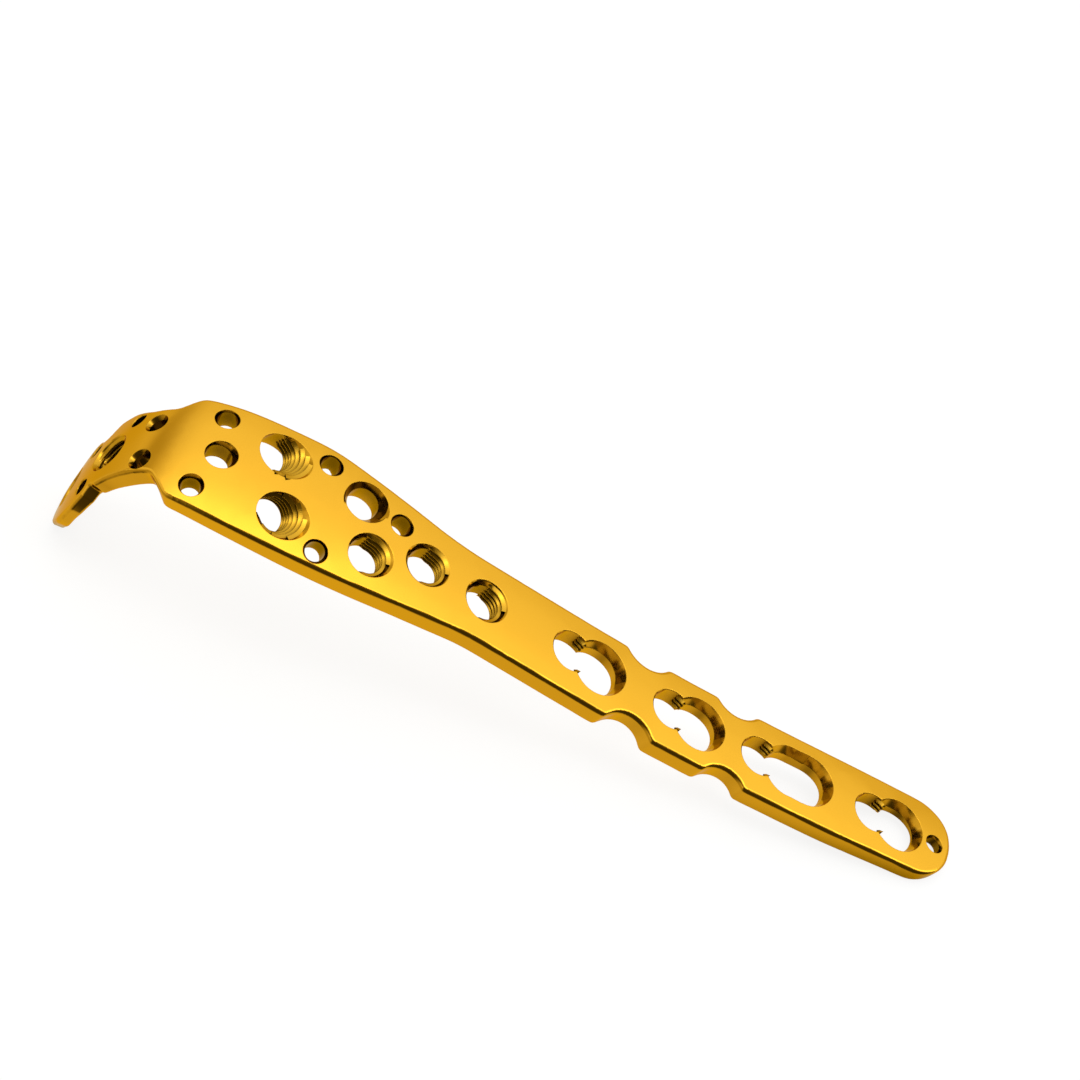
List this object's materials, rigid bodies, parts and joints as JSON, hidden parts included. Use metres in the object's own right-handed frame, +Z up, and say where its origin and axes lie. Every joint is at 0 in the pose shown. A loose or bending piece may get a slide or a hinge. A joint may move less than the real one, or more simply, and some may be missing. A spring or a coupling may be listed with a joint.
{
  "type": "orthopedic bone plate",
  "caption": "Contoured bone plate: a straight waisted shaft with combination screw holes, a wide crowned head with locking holes, and a perforated tongue bent down over the bone's end.",
  "frame": {"origin": "centre of the footprint, on the surface that the plate lies on", "axes": "+X from the bent tongue towards the round tip of the shaft, +Z up, out of the outer face; the plate lies on the end of its tongue and on both sides of its tip"},
  "size_m": [0.1048, 0.0152, 0.019],
  "materials": {
    "plate": "gold anodised, polished"
  },
  "bodies": {
    "root": {"plate": "plate"}
  },
  "joints": []
}
